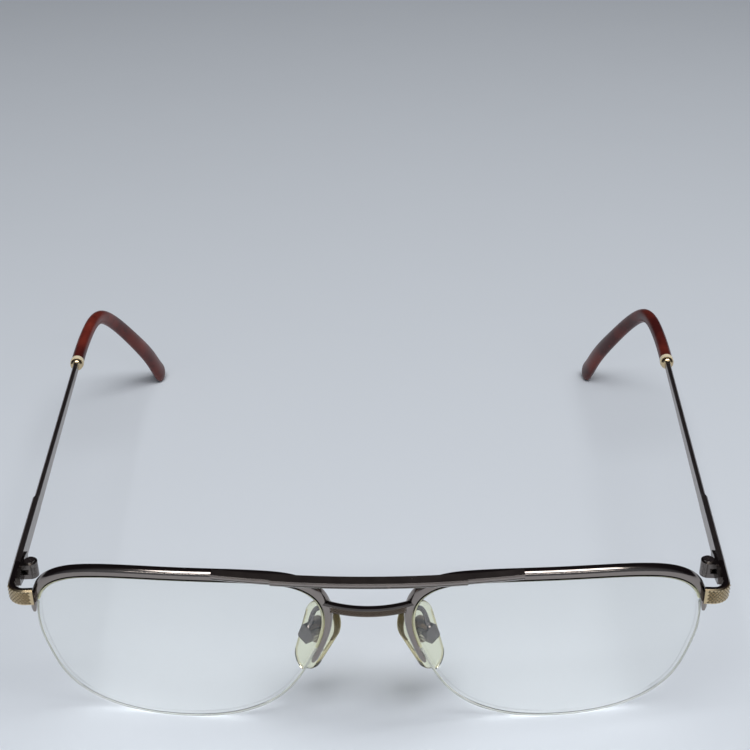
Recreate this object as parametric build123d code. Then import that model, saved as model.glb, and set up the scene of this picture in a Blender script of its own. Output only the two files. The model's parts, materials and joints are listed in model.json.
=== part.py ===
from build123d import *
import math
import os

os.makedirs("parts", exist_ok=True)

# Half rim eyeglasses with a brow bar above the nose bridge.
# Millimetres. X across the face, Y from the front back along the temples, Z up.
# The part stands on its two lower lens edges and on the ends of its temples.

# Left and right share every value, so one side is built and then mirrored.
MIRROR_PLANE = Plane.YZ

# The origin is at floor level, under the middle of the footprint.
FOOTPRINT_CENTRE_Y = 75.218

# The front leans, top forward, about the top of the nose bridge.
FRONT_HEIGHT = 37.917
FRONT_TILT = 12.0
FRONT_PLACE = Location((0, 0, FRONT_HEIGHT), (FRONT_TILT, 0, 0))

# Lens surfaces are two spheres with one centre.
LENS_CENTRE_X = 37.0
LENS_CENTRE_BACK = 2.1
LENS_CENTRE_DROP = 15.0
LENS_WRAP = 4.0
LENS_FRONT_RADIUS = 110.0
LENS_SAG = 3.75
LENS_THICKNESS = 2.0
LENS_MID_RADIUS = LENS_FRONT_RADIUS - LENS_THICKNESS / 2

# Lens edge, as seen square on: temple side, then over the top to the nose.
LENS_OUTLINE = [
    (28.7, 3.0), (28.2, 9.0), (26.7, 13.2), (23.0, 16.9), (15.8, 19.6),
    (7.5, 20.7), (-1.0, 21.0), (-9.5, 20.8), (-16.8, 20.0), (-22.8, 18.2),
    (-26.8, 14.7), (-28.4, 9.0), (-27.6, 3.2), (-25.3, -3.5), (-21.9, -10.9),
    (-16.8, -17.3), (-8.0, -22.4), (2.5, -24.0), (12.5, -23.5), (20.6, -20.1),
    (25.4, -13.9), (27.6, -5.6),
]
PATH_POINTS = 24
RING_ARCS = 32
BAND_ARCS = 16
SHELL_DEPTH = 15.0
SHELL_START = LENS_FRONT_RADIUS - SHELL_DEPTH

# Groove round the lens edge, liner strip and nylon cord.
GROOVE_WIDTH = 0.60
GROOVE_DEPTH = 0.55
LINER_WIDTH = 0.56
LINER_LENS_DEPTH = 0.50
CORD_RADIUS = 0.28
CORD_SIDES = 6
CORD_HOLE_SIDES = 6
CORD_SINK = 0.24
CUT_OVERRUN = 1.0
QUARTER = 90.0

# Rim wire with a channel for the liner.
RIM_GAP = 0.20
RIM_WALL = 1.35
RIM_DEPTH = 1.75
RIM_CHANNEL_DEPTH = 0.55
RIM_CHANNEL_WIDTH = 0.60
RIM_TEMPLE_SHARE = 0.022
RIM_NOSE_SHARE = 0.512
LINER_SETBACK_SHARE = 0.024
LINER_FLOOR_GAP = 0.02
CORD_HOLE_SETBACK_SHARE = 0.014
CORD_HOLE_RADIUS = 0.31
CORD_END_HEIGHT = 0.15

# Brow bar: a raised middle length between two lower ends.
BAR_HALF_LENGTH = 29.3
BAR_STEP_X = 18.3
BAR_HEIGHT = 1.62
BAR_TOP = 8.35
BAR_FRONT = -2.75
BAR_BOW = 2.00
BAR_BACK_DEPTH = 2.00
BAR_STEP = 0.32
BAR_STEP_DROP = 0.12
BAR_BEVEL = 0.35
BAR_GROOVE_DROP = 0.75
BAR_GROOVE_WIDTH = 0.18
BAR_GROOVE_DEPTH = 0.18
BAR_ROUND = 0.25
BAR_LENS_GAP = 0.12

# Nose bridge.
BRIDGE_HALF_SPAN = 8.90
BRIDGE_END_BACK = 1.75
BRIDGE_MID_BACK = 0.05
BRIDGE_HEIGHT = 2.30
BRIDGE_DEPTH = 1.50
BRIDGE_TOP = -1.80
BRIDGE_BEVEL = 0.35
BRIDGE_LIP = 0.28
BRIDGE_PANEL_DEPTH = 0.14
BRIDGE_BLOCK_SHARE = 0.10

# Hinge axis and the lie of the temples.
HINGE_X = 68.0
HINGE_Y = 14.3
HINGE_DROP = 2.817
HINGE_Z = FRONT_HEIGHT - HINGE_DROP
TEMPLE_SPLAY = 3.4
HINGE_PLACE = Location((HINGE_X, HINGE_Y, HINGE_Z), (0, 0, -TEMPLE_SPLAY))

# Strap of the end piece and blade of the temple at the hinge.
STRAP_HEIGHT = 3.70
STRAP_THICKNESS = 1.30
STRAP_OFFSET = 2.60
STRAP_BEVEL = 0.30
BUTT_GAP = 0.02
END_PIECE_REACH = 9.1
END_PIECE_START = -2.0
END_PIECE_BEND = 3.0

# Hinge of three knuckles.
KNUCKLE_RADIUS = 1.45
KNUCKLE_HEIGHT = 3.40
MIDDLE_KNUCKLE_HEIGHT = 1.20
KNUCKLE_GAP = 0.03
KNUCKLE_CLEARANCE = 0.12
LEAF_THICKNESS = 0.60
LEAF_HEIGHT = 3.10
LEAF_LENGTH = 4.40
LEAF_TAIL_HEIGHT = 1.80
LEAF_START = 0.10
LEAF_SHOULDER_SHARE = 0.45
WEB_SIDE_GAP = 0.10
PIN_RADIUS = 0.55
PIN_FREE_CLEARANCE = 0.05
SCREW_HEAD_RADIUS = 1.05
SCREW_HEAD_HEIGHT = 0.38
SCREW_TAIL = 0.15

# Temple blade: stations along its length.
BLADE_STEP_Y = 23.0
BLADE_STEP_LENGTH = 0.7
BLADE_STEP_DEPTH = 0.25
BLADE_END_Y = 85.6
BLADE_END_HEIGHT = 2.20
BLADE_END_THICKNESS = 1.10
BLADE_END_DROP = 0.60
BLADE_BEVEL = 0.28
BLADE_STEP_TAPER_SHARE = 0.4
CORE_RADIUS = 0.62
CORE_SIDES = 8
CORE_CLEARANCE = 0.02

# Metal ferrule, ring and curved ear tip.
FERRULE_START_Y = 84.5
FERRULE_END_Y = 85.8
FERRULE_NOSE_RADIUS = 1.05
FERRULE_SHOULDER_RADIUS = 1.55
FERRULE_SHOULDER_Y = 84.9
RING_RADIUS = 1.72
RING_END_Y = 87.1
TIP_PATH = [
    (2.60, 87.1, -0.60), (2.20, 103.0, -0.80), (0.40, 115.0, -2.20), (-2.20, 121.5, -7.40),
    (-6.30, 127.5, -16.30), (-10.00, 134.0, -26.60), (-11.50, 137.0, -32.13),
]
TIP_START_RUN = (0.0, 1.0, 0.0)
TIP_END_RUN = (-0.24, 0.52, -0.82)
TIP_STATIONS = 11
TIP_SIDES = 16
TIP_HALF_THICK = 1.60
TIP_HALF_TALL_START = 1.60
TIP_HALF_TALL_END = 3.10
TIP_TALL_POWER = 2.0
TIP_CAP_LENGTH = 3.0
TIP_CAP_ANGLES = (30.0, 55.0, 75.0)
CORE_STATIONS = 10
CORE_END_LENGTH = 1.0
BORE_END_ROOM = 0.30

# Nose pad, its metal plate, and the screw box on its arm.
PAD_DROP = 18.317
PAD_CENTRE = (10.9, 12.4, FRONT_HEIGHT - PAD_DROP)
PAD_LONG_AXIS = (-0.34, 0.0, 0.94)
PAD_SPLAY = 47.0
PAD_LENGTH = 17.4
PAD_TOP_RADIUS = 4.7
PAD_LOW_RADIUS = 3.5
PAD_THICKNESS = 2.30
PAD_ROUND = 0.95
PAD_EDGE_STEPS = 2
PAD_SIDES = 20
PLATE_RISE = 2.6
PLATE_LENGTH = 6.2
PLATE_WIDTH = 3.6
PLATE_THICKNESS = 0.50
PLATE_PROUD = 0.10
TAB_WIDTH = 1.10
TAB_HEIGHT = 2.0
TAB_END_RADIUS = 0.95
BOX_OFFSET = 3.2
BOX_WIDTH = 2.9
BOX_HEIGHT = 3.3
BOX_DEPTH = 3.0
BOX_WALL = 0.40
BOX_BEVEL = 0.35
BOX_FIT = 0.30
PAD_PIN_RADIUS = 0.40
PAD_PIN_CLEARANCE = 0.05
PAD_HEAD_RADIUS = 0.80
PAD_HEAD_HEIGHT = 0.35
ARM_RADIUS = 0.50
ARM_SIDES = 8
ARM_DROPS = [(7.9, 3.9, 8.617), (8.3, 7.4, 7.617), (10.7, 10.2, 9.317), (11.9, 10.5, 12.517)]


# Frame of one lens in the front: across, up, and out towards the front.
WRAP = math.radians(LENS_WRAP)
ACROSS = Vector(math.cos(WRAP), math.sin(WRAP), 0)
UPWARD = Vector(0, 0, 1)
OUTWARD = Vector(math.sin(WRAP), -math.cos(WRAP), 0)
LENS_CENTRE = Vector(LENS_CENTRE_X, LENS_CENTRE_BACK, -LENS_CENTRE_DROP)
SPHERE_CENTRE = LENS_CENTRE + OUTWARD * (LENS_SAG - LENS_FRONT_RADIUS)
OUTLINE_EDGE = Edge.make_spline([Vector(a, b) for a, b in LENS_OUTLINE], periodic=True)


def outline_at(share):
    """Point and outward direction of the lens outline, in its own flat view."""
    spot = OUTLINE_EDGE.position_at(share % 1)
    run = OUTLINE_EDGE.tangent_at(share % 1)
    return spot, Vector(run.Y, -run.X, 0)


def edge_point(share, offset=0, radius=LENS_MID_RADIUS):
    """Point on a lens sphere, offset outward from the lens edge."""
    spot, out = outline_at(share)
    flat = spot + out * offset
    rise = math.sqrt(radius**2 - flat.X**2 - flat.Y**2)
    return SPHERE_CENTRE + ACROSS * flat.X + UPWARD * flat.Y + OUTWARD * rise


def edge_path(start_share, end_share, offset):
    """Path along the middle of the lens edge, offset outward from it."""
    span = end_share - start_share
    points = [edge_point(start_share + span * i / PATH_POINTS, offset) for i in range(PATH_POINTS + 1)]
    return Edge.make_spline(points)


def arc_chain(start_share, end_share, offset, arcs):
    """Arcs end to end beside the lens outline, in the flat view."""
    steps = arcs * 2
    points = []
    for i in range(steps + 1):
        spot, out = outline_at(start_share + (end_share - start_share) * i / steps)
        points.append(spot + out * offset)
    return [Edge.make_three_point_arc(*points[i:i + 3]) for i in range(0, steps, 2)]


def flat_ring(offset):
    """Closed outline in the flat view, offset outward."""
    return arc_chain(0, 1, offset, RING_ARCS)


def round_end(share, inner, outer, turn):
    """Half round end of a band; turn is the way round from its outward side."""
    spot, out = outline_at(share)
    bulge = out.rotate(Axis.Z, turn) * ((outer - inner) / 2)
    middle = spot + out * ((inner + outer) / 2) + bulge
    return Edge.make_three_point_arc(spot + out * inner, middle, spot + out * outer)


def flat_band(start_share, end_share, inner, outer):
    """Open band beside the outline, between two offsets, with round ends."""
    edges = arc_chain(start_share, end_share, inner, BAND_ARCS)
    edges += arc_chain(start_share, end_share, outer, BAND_ARCS)
    edges += [round_end(start_share, inner, outer, -QUARTER), round_end(end_share, inner, outer, QUARTER)]
    return make_face(edges)


def lens_shell(face, half_depth):
    """Push a flat shape through a skin about the middle of the lens."""
    block = extrude(lens_plane * face, amount=SHELL_DEPTH + LENS_SAG)
    outer = Pos(*SPHERE_CENTRE) * Sphere(LENS_MID_RADIUS + half_depth)
    inner = Pos(*SPHERE_CENTRE) * Sphere(LENS_MID_RADIUS - half_depth)
    return (block & outer) - inner


def placed_front(shape):
    return FRONT_PLACE * shape


def two_sides(name, shape):
    """Write one piece and its mirror image."""
    write(name + "_left", shape)
    write(name + "_right", mirror(shape, MIRROR_PLANE))


def write(name, shape):
    solids = (Pos(0, -FOOTPRINT_CENTRE_Y, 0) * shape).solids()
    solid = solids[0] if len(solids) == 1 else Compound(solids)
    export_step(solid, "parts/" + name + ".step")


def bevelled(width, height, bevel):
    """Rectangle with its corners cut off."""
    return chamfer(Rectangle(width, height).vertices(), bevel)


# Lens blank with a groove all round its edge.
lens_plane = Plane(origin=SPHERE_CENTRE + OUTWARD * SHELL_START, x_dir=ACROSS, z_dir=OUTWARD)
lens_blank = lens_shell(make_face(flat_ring(0)), LENS_THICKNESS / 2)
groove_ring = make_face(flat_ring(CUT_OVERRUN)) - make_face(flat_ring(-GROOVE_DEPTH))
lens = lens_blank - lens_shell(groove_ring, GROOVE_WIDTH / 2)
two_sides("lens", placed_front(lens))

# Rim wire over the top, with its channel.
rim_face = flat_band(RIM_TEMPLE_SHARE, RIM_NOSE_SHARE, RIM_GAP, RIM_GAP + RIM_WALL)
rim_full = lens_shell(rim_face, RIM_DEPTH / 2)
channel_top = RIM_GAP + RIM_CHANNEL_DEPTH
channel_face = flat_band(RIM_TEMPLE_SHARE, RIM_NOSE_SHARE, -GROOVE_DEPTH, channel_top)
rim_bare = rim_full - lens_shell(channel_face, RIM_CHANNEL_WIDTH / 2)

# Liner strip and nylon cord.
liner_start = RIM_TEMPLE_SHARE + LINER_SETBACK_SHARE
liner_end = RIM_NOSE_SHARE - LINER_SETBACK_SHARE
liner_face = flat_band(liner_start, liner_end, -LINER_LENS_DEPTH, channel_top - LINER_FLOOR_GAP)
liner = lens_shell(liner_face, LINER_WIDTH / 2)
two_sides("rim_liner", placed_front(liner))

cord_start = RIM_NOSE_SHARE - CORD_HOLE_SETBACK_SHARE
cord_end = RIM_TEMPLE_SHARE + CORD_HOLE_SETBACK_SHARE + 1
cord_path = edge_path(cord_start, cord_end, -CORD_SINK)
cord_plane = Plane(origin=cord_path.position_at(0), z_dir=cord_path.tangent_at(0))
cord_line = sweep(cord_plane * RegularPolygon(CORD_RADIUS, CORD_SIDES), path=cord_path)


def cord_pin(share, inner, outer, radius):
    """Straight length of cord out of the lens edge, between two offsets."""
    start = edge_point(share)
    out = (edge_point(share, RIM_WALL) - start).normalized()
    plane = Plane(origin=start + out * inner, z_dir=out)
    return extrude(plane * RegularPolygon(radius, CORD_HOLE_SIDES), amount=outer - inner)


# The cord's ends turn out through a hole near each end of the rim.
rim_outer = RIM_GAP + RIM_WALL
cord = cord_line
for share in (cord_start, cord_end):
    cord = cord + cord_pin(share, -CORD_SINK, rim_outer + CORD_END_HEIGHT, CORD_RADIUS)
two_sides("nylon_cord", placed_front(cord))


def bar_section(front, back, top, step):
    """Side outline of the brow bar, from its front face to its back."""
    groove_top = top - BAR_GROOVE_DROP
    groove_low = groove_top - BAR_GROOVE_WIDTH
    low = top - BAR_HEIGHT
    return [
        (front + step + BAR_ROUND, top),
        (front + step, top - BAR_ROUND),
        (front + step, groove_top),
        (front + step + BAR_GROOVE_DEPTH, groove_top),
        (front + step + BAR_GROOVE_DEPTH, groove_low),
        (front + step, groove_low),
        (front + step + BAR_BEVEL, low),
        (back, low),
        (back, top),
    ]


def bar_length(start_x, end_x, step, top):
    """One length of the brow bar, swept along its bow."""
    def bow(x):
        return BAR_BOW * (x / BAR_HALF_LENGTH) ** 2

    middle_x = (start_x + end_x) / 2
    path = Edge.make_three_point_arc(
        Vector(start_x, bow(start_x), 0), Vector(middle_x, bow(middle_x), 0), Vector(end_x, bow(end_x), 0)
    )
    points = bar_section(BAR_FRONT, BAR_FRONT + BAR_BACK_DEPTH, top, step)
    corners = [Vector(start_x, bow(start_x) + y, z) for y, z in points]
    profile = make_face(Wire.make_polygon(corners, close=True))
    return sweep(profile, path=path)


# Brow bar: raised middle and two lower ends, soldered on the rims.
bar_middle = bar_length(-BAR_STEP_X, BAR_STEP_X, 0, BAR_TOP)
bar_end = bar_length(BAR_STEP_X, BAR_HALF_LENGTH, BAR_STEP, BAR_TOP - BAR_STEP_DROP)
lens_room = lens_shell(make_face(flat_ring(BAR_LENS_GAP)), LENS_THICKNESS / 2 + BAR_LENS_GAP)
bar_whole = bar_middle + bar_end + mirror(bar_end, MIRROR_PLANE)
brow_bar = bar_whole - lens_room - mirror(lens_room, MIRROR_PLANE)
write("brow_bar", placed_front(brow_bar))

# Nose bridge: a bowed bar with a sunk front panel between plain blocks.
bridge_path = Edge.make_three_point_arc(
    Vector(-BRIDGE_HALF_SPAN, BRIDGE_END_BACK, 0),
    Vector(0, BRIDGE_MID_BACK, 0),
    Vector(BRIDGE_HALF_SPAN, BRIDGE_END_BACK, 0),
)
bridge_up = Pos(0, 0, BRIDGE_TOP - BRIDGE_HEIGHT / 2)
bridge_plane = Plane(
    origin=bridge_path.position_at(0), x_dir=Vector(0, 0, 1), z_dir=bridge_path.tangent_at(0)
)
bridge_bar = sweep(bridge_plane * bevelled(BRIDGE_HEIGHT, BRIDGE_DEPTH, BRIDGE_BEVEL), path=bridge_path)
panel_path = bridge_path.trim(BRIDGE_BLOCK_SHARE, 1 - BRIDGE_BLOCK_SHARE)
panel_run = panel_path.tangent_at(0)
panel_front = Vector(panel_run.Y, -panel_run.X, 0)
panel_height = BRIDGE_HEIGHT - BRIDGE_LIP * 2
panel_start = panel_path.position_at(0) + panel_front * (BRIDGE_DEPTH / 2)
panel_plane = Plane(origin=panel_start, x_dir=Vector(0, 0, 1), z_dir=panel_run)
panel = sweep(panel_plane * Rectangle(panel_height, BRIDGE_PANEL_DEPTH * 2), path=panel_path)
bridge_solid = bridge_up * (bridge_bar - panel)

# The rim gives way to the bar and to the bridge, so the joints are flush.
bridge = bridge_solid - rim_full - mirror(rim_full, MIRROR_PLANE)
bridge_pieces = sorted(bridge.solids(), key=lambda solid: solid.volume)
write("nose_bridge", placed_front(bridge_pieces[-1]))
rim = rim_bare - bar_whole
for share in (cord_start, cord_end):
    rim = rim - cord_pin(share, 0, rim_outer + CUT_OVERRUN, CORD_HOLE_RADIUS)
two_sides("rim", placed_front(rim))

# End piece: a strap from the rim, out and round to the hinge.
bend_x = STRAP_OFFSET - END_PIECE_BEND
bend_y = END_PIECE_BEND - END_PIECE_REACH
bend_turn = math.radians(QUARTER / 2)
bend_middle = Vector(
    bend_x + END_PIECE_BEND * math.sin(bend_turn),
    bend_y - END_PIECE_BEND * math.cos(bend_turn),
    0,
)
strap_start = Vector(END_PIECE_START, -END_PIECE_REACH, 0)
bend_start = Vector(bend_x, -END_PIECE_REACH, 0)
bend_end = Vector(STRAP_OFFSET, bend_y, 0)
strap_path = Wire([
    Edge.make_line(strap_start, bend_start),
    Edge.make_three_point_arc(bend_start, bend_middle, bend_end),
    Edge.make_line(bend_end, Vector(STRAP_OFFSET, -BUTT_GAP, 0)),
])
strap_plane = Plane(origin=strap_start, x_dir=Vector(0, 0, 1), z_dir=Vector(1, 0, 0))
strap = sweep(strap_plane * bevelled(STRAP_HEIGHT, STRAP_THICKNESS, STRAP_BEVEL), path=strap_path)
rim_in_place = placed_front(rim_full)
end_piece_all = (HINGE_PLACE * strap) - rim_in_place
end_piece = sorted(end_piece_all.solids(), key=lambda solid: solid.volume)[-1]
two_sides("end_piece", end_piece)


def knuckle(low, high):
    """One knuckle round the hinge axis."""
    return Pos(0, 0, (low + high) / 2) * Cylinder(KNUCKLE_RADIUS, high - low)


def block(x_low, x_high, y_low, y_high, z_low, z_high):
    """Box between two corners."""
    size = (x_high - x_low, y_high - y_low, z_high - z_low)
    centre = ((x_low + x_high) / 2, (y_low + y_high) / 2, (z_low + z_high) / 2)
    return Pos(*centre) * Box(*size)


# Hinge leaves: a tapered plate on the strap and knuckles round the screw.
strap_inner = STRAP_OFFSET - STRAP_THICKNESS / 2
half_knuckle = KNUCKLE_HEIGHT / 2
half_middle = MIDDLE_KNUCKLE_HEIGHT / 2


def leaf_plate(way):
    """Plate that lies on the inner side of the strap and narrows to its tail."""
    corners = [
        (way * LEAF_START, LEAF_HEIGHT / 2),
        (way * LEAF_LENGTH * LEAF_SHOULDER_SHARE, LEAF_HEIGHT / 2),
        (way * LEAF_LENGTH, LEAF_TAIL_HEIGHT / 2),
        (way * LEAF_LENGTH, -LEAF_TAIL_HEIGHT / 2),
        (way * LEAF_LENGTH * LEAF_SHOULDER_SHARE, -LEAF_HEIGHT / 2),
        (way * LEAF_START, -LEAF_HEIGHT / 2),
    ]
    inner = strap_inner - LEAF_THICKNESS
    outline = make_face(Wire.make_polygon([Vector(inner, y, z) for y, z in corners], close=True))
    return extrude(outline, amount=LEAF_THICKNESS, dir=Vector(1, 0, 0))


free_radius = KNUCKLE_RADIUS + KNUCKLE_CLEARANCE
middle_room = Cylinder(free_radius, MIDDLE_KNUCKLE_HEIGHT + KNUCKLE_GAP * 2)
upper_low = half_middle + KNUCKLE_GAP
upper_room = Pos(0, 0, (upper_low - KNUCKLE_GAP + half_knuckle + CUT_OVERRUN) / 2) * Cylinder(
    free_radius, half_knuckle + CUT_OVERRUN - upper_low + KNUCKLE_GAP
)
lower_room = mirror(upper_room, Plane.XY)
pin_hole = Cylinder(PIN_RADIUS + CORE_CLEARANCE, KNUCKLE_HEIGHT + CUT_OVERRUN)
free_hole = Cylinder(PIN_RADIUS + PIN_FREE_CLEARANCE, KNUCKLE_HEIGHT + CUT_OVERRUN)

upper_knuckle = knuckle(upper_low, half_knuckle)
lower_knuckle = knuckle(-half_knuckle, -upper_low)
upper_web = block(0, strap_inner, -KNUCKLE_RADIUS, -WEB_SIDE_GAP, upper_low, half_knuckle)
lower_web = block(0, strap_inner, -KNUCKLE_RADIUS, -WEB_SIDE_GAP, -half_knuckle, -upper_low)
front_leaf = leaf_plate(-1) - middle_room
front_leaf = front_leaf + upper_knuckle + lower_knuckle + upper_web + lower_web - pin_hole
two_sides("hinge_front_leaf", HINGE_PLACE * front_leaf)

middle_knuckle = knuckle(-half_middle, half_middle)
middle_web = block(0, strap_inner, WEB_SIDE_GAP, KNUCKLE_RADIUS, -half_middle, half_middle)
temple_leaf = (leaf_plate(1) - upper_room - lower_room) + middle_knuckle + middle_web - free_hole
two_sides("hinge_temple_leaf", HINGE_PLACE * temple_leaf)

# Hinge screw with its head on the top knuckle.
screw_head = Cylinder(SCREW_HEAD_RADIUS, SCREW_HEAD_HEIGHT)
screw_head = Pos(0, 0, half_knuckle + SCREW_HEAD_HEIGHT / 2) * screw_head
shank_length = KNUCKLE_HEIGHT + SCREW_TAIL
screw = screw_head + Pos(0, 0, half_knuckle - shank_length / 2) * Cylinder(PIN_RADIUS, shank_length)
two_sides("hinge_screw", HINGE_PLACE * screw)


# Temple blade: full height to the step, then thinner to the ferrule, with a core wire.
def blade_section(y, outer, inner, height, rise):
    plane = Plane(origin=Vector((outer + inner) / 2, y, rise), x_dir=Vector(1, 0, 0), z_dir=Vector(0, 1, 0))
    return plane * bevelled(outer - inner, height, BLADE_BEVEL)


strap_outer = STRAP_OFFSET + STRAP_THICKNESS / 2
step_end_y = BLADE_STEP_Y + BLADE_STEP_LENGTH
step_outer = strap_outer - BLADE_STEP_DEPTH
blade_end_outer = STRAP_OFFSET + BLADE_END_THICKNESS / 2
blade_end_inner = STRAP_OFFSET - BLADE_END_THICKNESS / 2
step_share = BLADE_STEP_Y / BLADE_END_Y
step_height = STRAP_HEIGHT - (STRAP_HEIGHT - BLADE_END_HEIGHT) * step_share * BLADE_STEP_TAPER_SHARE
after_height = step_height - BLADE_STEP_DEPTH
step_rise = -BLADE_END_DROP * step_share
blade_front = loft([
    blade_section(BUTT_GAP, strap_outer, strap_inner, STRAP_HEIGHT, 0),
    blade_section(BLADE_STEP_Y, strap_outer, strap_inner, step_height, step_rise),
], ruled=True)
blade_step = loft([
    blade_section(BLADE_STEP_Y, strap_outer, strap_inner, step_height, step_rise),
    blade_section(step_end_y, step_outer, strap_inner, after_height, step_rise),
], ruled=True)
blade_rear = loft([
    blade_section(step_end_y, step_outer, strap_inner, after_height, step_rise),
    blade_section(BLADE_END_Y, blade_end_outer, blade_end_inner, BLADE_END_HEIGHT, -BLADE_END_DROP),
], ruled=True)
tip_path = Edge.make_spline(
    [Vector(*point) for point in TIP_PATH],
    tangents=[Vector(*TIP_START_RUN), Vector(*TIP_END_RUN)],
)


def tip_plane(share):
    """Plane across the tip's path; its first direction lies across the temple."""
    along = tip_path.tangent_at(share)
    side = Vector(1, 0, 0) - along * along.X
    return Plane(origin=tip_path.position_at(share), x_dir=side, z_dir=along)


def core_wire(radius, start_y, end_room):
    """Core wire from the blade's end along the tip, or the bore for it."""
    start_spot = Vector(STRAP_OFFSET, start_y, -BLADE_END_DROP)
    start = Plane(origin=start_spot, x_dir=Vector(1, 0, 0), z_dir=Vector(0, 1, 0))
    planes = [start] + [tip_plane(i / (TIP_STATIONS - 1)) for i in range(CORE_STATIONS)]
    planes.append(planes[-1].offset(CORE_END_LENGTH + end_room))
    return loft([plane * RegularPolygon(radius, CORE_SIDES) for plane in planes], ruled=True)


core = core_wire(CORE_RADIUS, BLADE_END_Y - CUT_OVERRUN, 0)
temple = blade_front + blade_step + blade_rear + core
two_sides("temple", HINGE_PLACE * temple)

# Domed ferrule and pale ring, closed round the blade's end and the core.
ferrule_profile = Wire.make_polygon([
    Vector(0, FERRULE_START_Y, 0),
    Vector(FERRULE_NOSE_RADIUS, FERRULE_START_Y, 0),
    Vector(FERRULE_SHOULDER_RADIUS, FERRULE_SHOULDER_Y, 0),
    Vector(RING_RADIUS, FERRULE_END_Y, 0),
    Vector(0, FERRULE_END_Y, 0),
], close=True)
to_temple_line = Pos(STRAP_OFFSET, 0, -BLADE_END_DROP)
ferrule_solid = to_temple_line * revolve(make_face(ferrule_profile), axis=Axis.Y)
ferrule = ferrule_solid - temple
ring_plane = Plane(origin=Vector(STRAP_OFFSET, FERRULE_END_Y, -BLADE_END_DROP), z_dir=Vector(0, 1, 0))
ring = extrude(ring_plane * Circle(RING_RADIUS), amount=RING_END_Y - FERRULE_END_Y) - temple
two_sides("ferrule", HINGE_PLACE * ferrule)
two_sides("tip_ring", HINGE_PLACE * ring)

def oval(plane, half_thick, half_tall):
    """Oval cross section of the tip."""
    spots = []
    for i in range(TIP_SIDES):
        turn = math.tau * i / TIP_SIDES
        spots.append(plane.from_local_coords((half_thick * math.cos(turn), half_tall * math.sin(turn), 0)))
    return make_face(Wire.make_polygon(spots, close=True))


# Curved tip: oval sections along the bend, deeper towards a rounded end.
sections = []
for i in range(TIP_STATIONS):
    share = i / (TIP_STATIONS - 1)
    half_tall = TIP_HALF_TALL_START + (TIP_HALF_TALL_END - TIP_HALF_TALL_START) * share**TIP_TALL_POWER
    sections.append(oval(tip_plane(share), TIP_HALF_THICK, half_tall))
for angle in TIP_CAP_ANGLES:
    turn = math.radians(angle)
    cap_plane = tip_plane(1).offset(TIP_CAP_LENGTH * math.sin(turn))
    sections.append(oval(cap_plane, TIP_HALF_THICK * math.cos(turn), TIP_HALF_TALL_END * math.cos(turn)))
tip_whole = loft(sections, ruled=True)
bore = core_wire(CORE_RADIUS + CORE_CLEARANCE, RING_END_Y - CUT_OVERRUN, BORE_END_ROOM)
temple_tip = tip_whole - bore
two_sides("temple_tip", HINGE_PLACE * temple_tip)

# Nose pad frame: long axis, across, and out towards the screw box.
pad_long = Vector(*PAD_LONG_AXIS).normalized()
splay = math.radians(PAD_SPLAY)
pad_across = Vector(math.sin(splay), math.cos(splay), 0)
pad_across = (pad_across - pad_long * pad_across.dot(pad_long)).normalized()
pad_out = pad_across.cross(pad_long)
if pad_out.X < 0:
    pad_out = pad_out * -1
pad_centre = Vector(*PAD_CENTRE)


def pad_plane(rise, out, z_dir, x_dir):
    return Plane(origin=pad_centre + pad_long * rise + pad_out * out, x_dir=x_dir, z_dir=z_dir)


def pad_layer(rise, inset):
    """Drop outline of the pad at one height, drawn in by an inset."""
    top = Pos(PAD_LENGTH / 2 - PAD_TOP_RADIUS, 0) * RegularPolygon(PAD_TOP_RADIUS - inset, PAD_SIDES)
    low = Pos(PAD_LOW_RADIUS - PAD_LENGTH / 2, 0) * RegularPolygon(PAD_LOW_RADIUS - inset, PAD_SIDES)
    return pad_plane(0, rise, pad_out, pad_long) * make_hull(top.edges() + low.edges())


# Pad body: a rounded drop, wider at its top, with its edges rounded over in steps.
layers = []
for side in (-1, 1):
    for step in range(PAD_EDGE_STEPS + 1):
        turn = math.radians(QUARTER * (step if side < 0 else PAD_EDGE_STEPS - step) / PAD_EDGE_STEPS)
        rise = side * (PAD_THICKNESS / 2 - PAD_ROUND * (1 - math.cos(turn)))
        layers.append(pad_layer(rise, PAD_ROUND * (1 - math.sin(turn))))
pad_soft = loft(layers, ruled=True)

# Metal plate in the outer face of the pad, with the tab the screw holds.
plate_low = PAD_THICKNESS / 2 - PLATE_THICKNESS + PLATE_PROUD
plate_plane = pad_plane(PLATE_RISE, plate_low, pad_out, pad_long)
plate = extrude(plate_plane * SlotOverall(PLATE_LENGTH, PLATE_WIDTH), amount=PLATE_THICKNESS)
tab_face = Pos((plate_low + BOX_OFFSET) / 2, 0) * Rectangle(BOX_OFFSET - plate_low, TAB_HEIGHT)
tab_face = tab_face + Pos(BOX_OFFSET, 0) * Circle(TAB_END_RADIUS)
tab_plane = pad_plane(PLATE_RISE, 0, pad_across, pad_out).offset(-TAB_WIDTH / 2)
tab = extrude(tab_plane * tab_face, amount=TAB_WIDTH)
pin_plane = pad_plane(PLATE_RISE, BOX_OFFSET, pad_across, pad_out)


def pad_pin(radius, low, high):
    """Round pin along the screw's axis, between two places across the box."""
    return extrude(pin_plane.offset(low) * Circle(radius), amount=high - low)


tab_hole = pad_pin(PAD_PIN_RADIUS + PAD_PIN_CLEARANCE, -BOX_WIDTH, BOX_WIDTH)
pad_plate = plate + tab - tab_hole
nose_pad = pad_soft - plate - tab
two_sides("nose_pad", nose_pad)
two_sides("pad_plate", pad_plate)

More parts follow.
